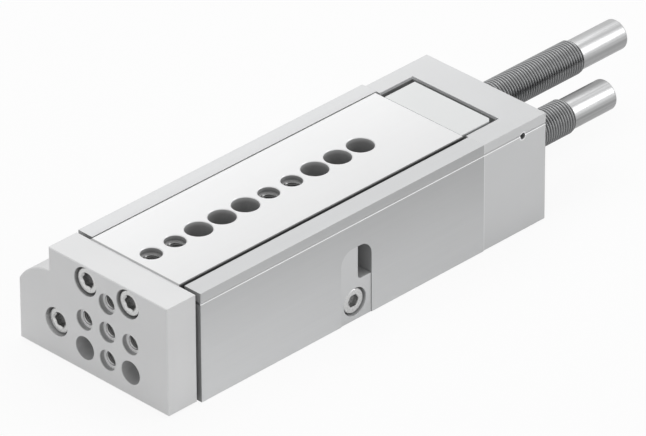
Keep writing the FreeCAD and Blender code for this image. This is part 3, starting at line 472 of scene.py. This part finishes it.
# The finish of each material slot.  A cut thread has its own.
SKINS = {
    "housing_aluminium": brushed("extruded_aluminium", (0.60, 0.605, 0.61), 0.30, 0.42,
                                 0.35 * MM, 0.08, 0.004 * MM, housing_tone),
    "cap_aluminium": blasted("milled_cap", (0.675, 0.68, 0.685), 0.30, 0.45, 0.03, cap_tone),
    "yoke_aluminium": blasted("matte_yoke", (0.73, 0.732, 0.735), 0.25, 0.50, 0.04, yoke_tone),
    "slide_metal": brushed("ground_slide", (0.90, 0.902, 0.905), 0.30, 0.36,
                           0.25 * MM, 0.03, 0.002 * MM, slide_tone, cloud=0.02),
    "plate_aluminium": blasted("milled_plate", (0.74, 0.75, 0.75), 0.30, 0.45, 0.03, plate_tone),
    "block_metal": blasted("milled_block", (0.665, 0.67, 0.675), 0.30, 0.42, 0.03, block_tone),
    "bright_screw": blasted("bright_screw_steel", (0.73, 0.73, 0.725), 0.85, 0.28, 0.08,
                            painted_hollow_shade),
    "guide_steel": brushed("ground_guide_steel", (0.42, 0.43, 0.45), 0.9, 0.25,
                           0.2 * MM, 0.06, 0.002 * MM),
    "rod_steel": brushed("chromed_rod", (0.60, 0.61, 0.63), 0.95, 0.14,
                         0.2 * MM, 0.04, 0.001 * MM),
    "thread_steel": blasted("dark_thread_steel", (0.43, 0.435, 0.44), 0.9, 0.22, 0.10,
                            thread_tone),
    "tail_steel": brushed("bright_tail_steel", (0.54, 0.543, 0.546), 0.98, 0.29,
                          0.8 * MM, 0.6, 0.0, tail_tone, fineness=1.5, gloss_swing=0.02),
    "bearing_bronze": blasted("sintered_bronze", (0.45, 0.31, 0.15), 0.85, 0.42, 0.2),
    "seal_rubber": soft_stuff("black_rubber", (0.022, 0.022, 0.024), 0.6, 0.2 * MM),
    "cage_plastic": soft_stuff("glass_filled_plastic", (0.06, 0.063, 0.068), 0.5, 0.3 * MM),
    "magnet": soft_stuff("bonded_ferrite", (0.045, 0.045, 0.05), 0.55, 0.15 * MM),
}
cut_thread_skin = blasted("cut_thread", (0.80, 0.80, 0.80), 0.9, 0.20, 0.05, painted_hollow_shade)

SLOT_OF = {part["node"]: part["material_slot"] for part in frame["record"]["subparts"]}
for node, obj in frame["nodes"].items():
    obj.data.materials.clear()
    obj.data.materials.append(SKINS[SLOT_OF[node]])


# Threads: pitch and depth of the absorbers' fine thread and of the open M5 threads, the rows
# of points in one pitch, and the shares of a pitch that are flat at the root and the crest.
FINE_PITCH, FINE_DEPTH = 1.11 * MM, 0.55 * MM
COARSE_PITCH, COARSE_DEPTH = 0.8 * MM, 0.38 * MM
STEPS_PER_TURN = 8
ROOT_FLAT, CREST_FLAT = 0.08, 0.12

# Points round a turned surface: absorber bodies and screws, absorber tails, open threads.
BODY_COLUMNS, TAIL_COLUMNS, OPEN_THREAD_COLUMNS = 72, 96, 48

# Shading breaks at edges that turn by more degrees than this.
SHARP_ANGLE = 32

# Points this near each other are one point, and edges this short are dropped, in metres.
SAME_POINT, NO_EDGE = 1e-7, 1e-8


def skin_from_grid(name, points, body, slot, painted_shade_mark=None, skin=None):
    """A closed piece from a grid of points (rows, columns, xyz).

    Columns run round, the last on the first or on the next turn of a thread.  Rows run from
    one end of the profile to the other; a row on the axis collapses to one point, and a
    profile whose last row repeats the first closes into a ring.  painted_shade_mark is the share
    of painted shade, 0 on the open surface and 1 in its hollows, point by point.
    """
    rows, columns = points.shape[:2]
    row, column = np.meshgrid(np.arange(rows - 1), np.arange(columns - 1), indexing="ij")
    first = row * columns + column
    corners = np.stack([first, first + columns, first + columns + 1, first + 1], axis=-1)
    mesh = bpy.data.meshes.new(name)
    mesh.from_pydata(points.reshape(-1, 3).tolist(), [], corners.reshape(-1, 4).tolist())
    marks = np.zeros((rows, columns)) if painted_shade_mark is None else painted_shade_mark
    mesh.attributes.new("painted_shade_mark", "FLOAT", "POINT").data.foreach_set("value", marks.ravel())
    weld(mesh)
    mesh.shade_smooth()
    mesh.set_sharp_from_angle(angle=radians(SHARP_ANGLE))
    mesh.materials.append(skin or SKINS[slot])
    piece = bpy.data.objects.new(name, mesh)
    bpy.context.scene.collection.objects.link(piece)
    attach(piece, body)
    return piece


def weld(mesh):
    """Merge points that coincide, and turn every face outwards."""
    shell = bmesh.new()
    shell.from_mesh(mesh)
    bmesh.ops.remove_doubles(shell, verts=shell.verts, dist=SAME_POINT)
    bmesh.ops.dissolve_degenerate(shell, edges=shell.edges, dist=NO_EDGE)
    bmesh.ops.recalc_face_normals(shell, faces=shell.faces)
    shell.to_mesh(mesh)
    shell.free()


def round_about(columns):
    """Angles of a full turn; the last repeats the first, so that weld() closes the seam."""
    return np.linspace(0, 2 * pi, columns + 1)


def turned(radius, along, angle):
    """Points of a surface turned about Y: radius times the angle's cosine across, radius
    times its sine up."""
    radius, along, angle = np.broadcast_arrays(radius, along, angle)
    return np.stack([radius * np.cos(angle), along, radius * np.sin(angle)], axis=-1)


def round_grid(profile, columns=BODY_COLUMNS):
    """A turned surface about Y: each profile row is (radius, along)."""
    radius, along = np.array(profile, float).T[:, :, None]
    return turned(radius, along, round_about(columns))


def thread_rows(crest, depth, length, pitch, columns):
    """A screw thread about Y from 0 to length, and its mark of painted shade.

    Each row climbs one pitch in one turn.  The flank is a triangle wave of the row number,
    cut flat at root and crest, and the thread fades into a 45 degree chamfer at both ends.
    A negative depth makes the thread of a hole, whose crest is its smallest radius.
    """
    last = np.ceil(length / pitch * STEPS_PER_TURN)
    turns = np.arange(-STEPS_PER_TURN, last + 1) / STEPS_PER_TURN
    angle = round_about(columns)
    wave = np.abs(2 * (turns % 1) - 1)
    painted_flank = np.clip((wave - ROOT_FLAT) / (1 - ROOT_FLAT - CREST_FLAT), 0, 1)
    along = np.clip((turns[:, None] + angle / (2 * pi)) * pitch, 0, length)
    end = np.minimum(along, length - along)
    height = np.minimum(painted_flank[:, None], end / abs(depth))
    return turned(crest - depth * (1 - height), along, angle), 1 - height


def middle_of(low, high):
    return (low + high) / 2


# Room in an absorber's bore: around the plunger's tip and rod, and beyond their ends.
TIP_ROOM, ROD_ROOM = 0.5 * MM, 0.05 * MM
TIP_SPARE, ROD_SPARE = 0.2 * MM, 1.0 * MM

# A tail's chamfer where it leaves the thread, and the radius of its rounded end.
TAIL_CHAMFER, TAIL_ROUND = 0.25 * MM, 0.8 * MM

# How much painted shade the thread's end face gets.
END_MARK = 0.3


def make_absorber(side, body):
    """A shock absorber: its threaded body with the plunger's bore, and its smooth tail.

    The body's rows run from the bore's floor on the axis out of its mouth, along the thread
    and back to the axis behind it.  The tail is a turned profile whose end is a quarter circle.
    """
    low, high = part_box(side + "_absorber")
    tip_low, tip_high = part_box(side + "_plunger_tip")
    rod_low, rod_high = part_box(side + "_plunger_rod")
    crest = (high.x - low.x) / 2
    length = high.y - low.y
    centre = Vector((middle_of(low.x, high.x), low.y, middle_of(low.z, high.z)))
    mouth = (tip_high.x - tip_low.x) / 2 + TIP_ROOM
    guide = (rod_high.x - rod_low.x) / 2 + ROD_ROOM
    recess = tip_high.y - tip_low.y + TIP_SPARE
    bore_end = recess + (rod_high.y - rod_low.y) + ROD_SPARE
    bore = round_grid([(0, bore_end), (guide, bore_end), (guide, recess), (mouth, recess),
                       (mouth, 0)])
    thread, painted_shade_mark = thread_rows(crest, FINE_DEPTH, length, FINE_PITCH, BODY_COLUMNS)
    end = round_grid([(0, length)])
    grid = np.concatenate([bore, thread, end]) + np.array(centre)
    # The painted shade grows fast beside the crest, so that only the crest is left light.
    painted_shade_mark = np.concatenate([np.ones(bore.shape[:2]), painted_shade_mark ** 0.6,
                             np.full(end.shape[:2], END_MARK)])
    piece = skin_from_grid(side + "_absorber_thread", grid, body, "thread_steel", painted_shade_mark)
    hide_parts(side + "_absorber")

    low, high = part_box(side + "_absorber_tail")
    radius = (high.x - low.x) / 2
    bend = np.linspace(0, pi / 2, 9)
    profile = [(0, low.y), (radius - TAIL_CHAMFER, low.y), (radius, low.y + TAIL_CHAMFER)]
    profile += [(radius - TAIL_ROUND + TAIL_ROUND * np.cos(angle),
                 high.y - TAIL_ROUND + TAIL_ROUND * np.sin(angle)) for angle in bend]
    profile += [(0, high.y)]
    grid = round_grid(profile, TAIL_COLUMNS) + np.array((centre.x, 0, centre.z))
    tail = skin_from_grid(side + "_absorber_sleeve", grid, body, "tail_steel")
    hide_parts(side + "_absorber_tail")


make_absorber("advance", "slide_unit")
make_absorber("retract", "housing_unit")


# M5 screws with a round head.  A socket's size is the radius at its lobes' tips or corners.
M5_HEAD, M5_HEAD_HEIGHT, M5_SHANK = 4.25 * MM, 5.0 * MM, 2.5 * MM
HEAD_ROUND = 0.45 * MM
LOBED_SOCKET, HEXAGON_SOCKET, SOCKET_DEPTH = 2.45 * MM, 2.31 * MM, 2.2 * MM
SOCKET_CONE = 0.3 * MM


def lobed(angle):
    """A six-lobed contour: a cosine wave that is 1 at a lobe's tip and 0.84 between two."""
    return 0.92 + 0.08 * np.cos(6 * angle)


def six_sided(angle):
    """A hexagon of corner radius 1, its corners cut back to 0.97: the inner radius over the
    cosine of the angle from the nearest side's middle."""
    return np.minimum(np.cos(pi / 6) / np.cos(angle % (pi / 3) - pi / 6), 0.97)


def screw_grid(head, head_height, shank, length, socket, socket_depth, contour, lead, floor_mark):
    """A socket head screw along +Y, its head's face at 0, and its mark of painted shade.

    Rows run from the socket's floor on the axis out over the head and down the shank.  The
    inner rows follow the socket's contour and the outer rows are circles.  A cone of width
    lead opens into the socket, and the head's rim is a quarter circle.
    """
    # Each row: radius, depth, share of the contour, painted shade mark.
    rows = [(0, socket_depth + SOCKET_CONE, 1, floor_mark),
            (socket * 0.55, socket_depth, 1, floor_mark),
            (socket, socket_depth, 1, floor_mark),
            (socket, 1.4 * lead, 1, floor_mark * 0.8),
            (socket, 1.3 * lead, 1, 0.3),
            (socket + lead, 0, 0.1, 0.05),
            (socket + 1.2 * lead, 0, 0, 0.0)]
    rows += [(head - HEAD_ROUND + HEAD_ROUND * np.cos(angle),
              HEAD_ROUND - HEAD_ROUND * np.sin(angle), 0, 0.0)
             for angle in np.linspace(pi / 2, 0, 6)]
    tip = head_height + length
    rows += [(head, head_height, 0, 0.5), (shank, head_height, 0, 0.5),
             (shank, tip - HEAD_ROUND, 0, 0.0), (shank - HEAD_ROUND, tip, 0, 0.0),
             (0, tip, 0, 0.0)]
    radius, depth, share, painted_shade_mark = np.array(rows, float).T[:, :, None]
    angle = round_about(BODY_COLUMNS)
    return (turned(radius * (share * contour(angle) + (1 - share)), depth, angle),
            painted_shade_mark * np.ones(len(angle)))


def turned_to(grid, axis, centre):
    """The grid with its +Y turned to an axis and its origin moved to a centre."""
    spin = np.array(Vector((0, 1, 0)).rotation_difference(Vector(axis)).to_matrix())
    return grid @ spin.T + np.array(centre)


def join(name, grids, body, slot, painted_shade_mark, skin=None):
    """Several equal pieces in one mesh."""
    piece = skin_from_grid(name, grids[0], body, slot, painted_shade_mark, skin)
    for grid in grids[1:]:
        extra = skin_from_grid(name + "_more", grid, body, slot, painted_shade_mark, skin)
        with bpy.context.temp_override(active_object=piece, object=piece,
                                       selected_editable_objects=[piece, extra]):
            bpy.ops.object.join()
    return piece


def make_yoke_screws():
    """Two screws from the yoke into the slide and one into the piston rod."""
    low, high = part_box("yoke_to_slide_screws")
    length = high.y - low.y - M5_HEAD_HEIGHT
    grid, painted_shade_mark = screw_grid(M5_HEAD, M5_HEAD_HEIGHT, M5_SHANK, length, LOBED_SOCKET,
                              SOCKET_DEPTH, lobed, lead=0.38 * MM, floor_mark=0.74)
    height = middle_of(low.z, high.z)
    pair = [turned_to(grid, (0, 1, 0), (across, low.y, height))
            for across in (low.x + M5_HEAD, high.x - M5_HEAD)]
    screws = join("yoke_screw_pair", pair, "slide_unit", "bright_screw", painted_shade_mark)
    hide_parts("yoke_to_slide_screws")
    low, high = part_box("piston_rod_screw")
    centre = (middle_of(low.x, high.x), low.y, middle_of(low.z, high.z))
    screw = skin_from_grid("rod_screw", turned_to(grid, (0, 1, 0), centre), "slide_unit",
                           "bright_screw", painted_shade_mark)
    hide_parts("piston_rod_screw")


def make_block_screw():
    """The stop block's screw, its hexagon socket towards +X."""
    low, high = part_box("stop_block_screw")
    length = high.x - low.x - M5_HEAD_HEIGHT
    grid, painted_shade_mark = screw_grid(M5_HEAD, M5_HEAD_HEIGHT, M5_SHANK, length, HEXAGON_SOCKET,
                              SOCKET_DEPTH, six_sided, lead=0.12 * MM, floor_mark=0.5)
    centre = (high.x, middle_of(low.y, high.y), middle_of(low.z, high.z))
    screw = skin_from_grid("block_screw", turned_to(grid, (-1, 0, 0), centre), "housing_unit",
                           "bright_screw", painted_shade_mark)
    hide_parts("stop_block_screw")


make_yoke_screws()
make_block_screw()


# The open M5 threads: the hole's radius, how far the sleeve stays from its wall, the sleeve's
# thickness behind the thread's root, and the depth of the wider centring bore before it.
OPEN_THREAD, SLEEVE_PLAY, SLEEVE_WALL = 2.5 * MM, 0.005 * MM, 0.03 * MM
CENTRING_DEPTH = 1.8 * MM

# Over this depth a thread's painted shade goes from its mouth's mark to 1, and a root adds this
# much.
DARK_DEPTH, ROOT_MARK = 1.7 * MM, 0.4

# The middle of the yoke's cross of holes, below the yoke's top.
CROSS_DROP = 19.4 * MM


def thread_ring(length, mouth_mark):
    """The thread inside a hole, about Y from its mouth at 0 to length: a thin closed sleeve
    whose inner side is a screw thread and whose outer side lies against the hole's wall.
    Its mark of painted shade grows from mouth_mark to 1."""
    wall = OPEN_THREAD - SLEEVE_PLAY
    inner, painted_shade_mark = thread_rows(wall - SLEEVE_WALL - COARSE_DEPTH, -COARSE_DEPTH, length,
                                COARSE_PITCH, OPEN_THREAD_COLUMNS)
    painted_shade_mark = np.clip(mouth_mark + ROOT_MARK * painted_shade_mark + inner[..., 1] / DARK_DEPTH, 0, 1)
    outer = round_grid([(wall, length), (wall, 0)], OPEN_THREAD_COLUMNS)
    grid = np.concatenate([inner, outer, inner[:1]])
    return grid, np.concatenate([painted_shade_mark, np.ones(outer.shape[:2]), painted_shade_mark[:1]])


def make_slide_threads():
    """M5 threads in the slide: holes 1, 2, 6 and 7 of the row."""
    low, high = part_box("slide")
    mouth = high.z - CENTRING_DEPTH
    ring, painted_shade_mark = thread_ring(mouth - low.z, mouth_mark=0.5)
    grids = [turned_to(ring, (0, 0, -1), (0, low.y + FIRST_HOLE + step * HOLE_PITCH, mouth))
             for step in (0, 1, 5, 6)]
    join("slide_threads", grids, "slide_unit", "slide_metal", painted_shade_mark, cut_thread_skin)


def make_yoke_threads():
    """M5 threads in the yoke: the five holes of the cross."""
    low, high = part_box("yoke_plate")
    middle = high.z - CROSS_DROP
    arm = HOLE_PITCH
    ring, painted_shade_mark = thread_ring(high.y - low.y - CENTRING_DEPTH, mouth_mark=0.2)
    places = [(0, middle), (0, middle + arm), (0, middle - arm), (arm, middle), (-arm, middle)]
    grids = [turned_to(ring, (0, 1, 0), (across, low.y + CENTRING_DEPTH, up))
             for across, up in places]
    join("yoke_threads", grids, "slide_unit", "yoke_aluminium", painted_shade_mark, cut_thread_skin)


make_slide_threads()
make_yoke_threads()


def seen_share(rays, camera_share, mirror_share):
    """A share by the kind of ray that meets a surface: one for the camera's own rays, one
    for rays from gloss and glass, and 0 for the light that falls on the part."""
    camera, glossy, clear = rays.outputs("Is Camera Ray", "Is Glossy Ray", "Is Transmission Ray")
    return greater(camera * camera_share, greater(glossy, clear) * mirror_share)


def make_floor():
    """A pale floor under the part, white to the camera apart from the part's soft shadow."""
    metres_wide, gap_below = 6, 0.05 * MM
    bpy.ops.mesh.primitive_plane_add(size=metres_wide, location=(0, 0, -gap_below))
    floor = bpy.context.object
    floor.name = "floor"
    material, shader, tree = new_material("pale_floor", (0.86, 0.86, 0.86), 0.0, 0.9)
    shader.inputs["Specular IOR Level"].default_value = 0.0
    rays = Shade(tree).node("ShaderNodeLightPath")
    glow = rays.node("ShaderNodeEmission", None, {"Color": (1, 1, 1, 1), "Strength": 1.0})
    mixed = rays.node("ShaderNodeMixShader", None, {0: seen_share(rays, 0.9, 0.2),
                                                    1: Shade(tree, shader.outputs[0]), 2: glow})
    tree.links.new(mixed.socket, tree.nodes["Material Output"].inputs["Surface"])
    floor.data.materials.append(material)


def make_world():
    """Plain soft light from all round, and a white background, whose strength is 1."""
    world = bpy.data.worlds.new("studio")
    bpy.context.scene.world = world
    world.use_nodes = True
    tree = world.node_tree
    background = tree.nodes["Background"]
    rays = Shade(tree).node("ShaderNodeLightPath")
    soft_light = 0.55
    strength = soft_light + seen_share(rays, 1 - soft_light, 1 - soft_light)
    background.inputs["Color"].default_value = (1, 1, 1, 1)
    tree.links.new(strength.socket, background.inputs["Strength"])


def lamp(name, place, size, power, aim=(0, 0, 30 * MM)):
    """A square soft lamp that faces a point: metres and watts."""
    data = bpy.data.lights.new(name, "AREA")
    data.size = size
    data.energy = power
    obj = bpy.data.objects.new(name, data)
    obj.location = place
    obj.rotation_euler = (Vector(place) - Vector(aim)).to_track_quat("Z", "Y").to_euler()
    bpy.context.scene.collection.objects.link(obj)


def make_camera():
    """The photograph's camera, DISTANCE behind AIM in the direction of its two angles."""
    data = bpy.data.cameras.new("camera")
    data.lens = LENS_MM
    data.sensor_width = SENSOR_MM
    data.sensor_fit = "HORIZONTAL"
    data.clip_end = 20
    camera = bpy.data.objects.new("camera", data)
    azimuth, elevation = radians(AZIMUTH), radians(ELEVATION)
    back = Vector((np.sin(azimuth) * np.cos(elevation), -np.cos(azimuth) * np.cos(elevation),
                   np.sin(elevation)))
    camera.location = AIM + back * DISTANCE
    camera.rotation_mode = "QUATERNION"
    camera.rotation_quaternion = (back.to_track_quat("Z", "Y")
                                  @ Quaternion((0, 0, 1), radians(-ROLL)))
    bpy.context.scene.collection.objects.link(camera)
    bpy.context.scene.camera = camera


make_floor()
make_world()
lamp("overhead", (-0.25, 0.30, 1.05), 0.9, 4.4)
lamp("side", (1.20, 1.15, 0.93), 0.9, 6.1)
lamp("front", (0.1, -1.6, 0.5), 0.8, 1.2)
make_camera()
bpy.context.scene.view_settings.view_transform = "Standard"
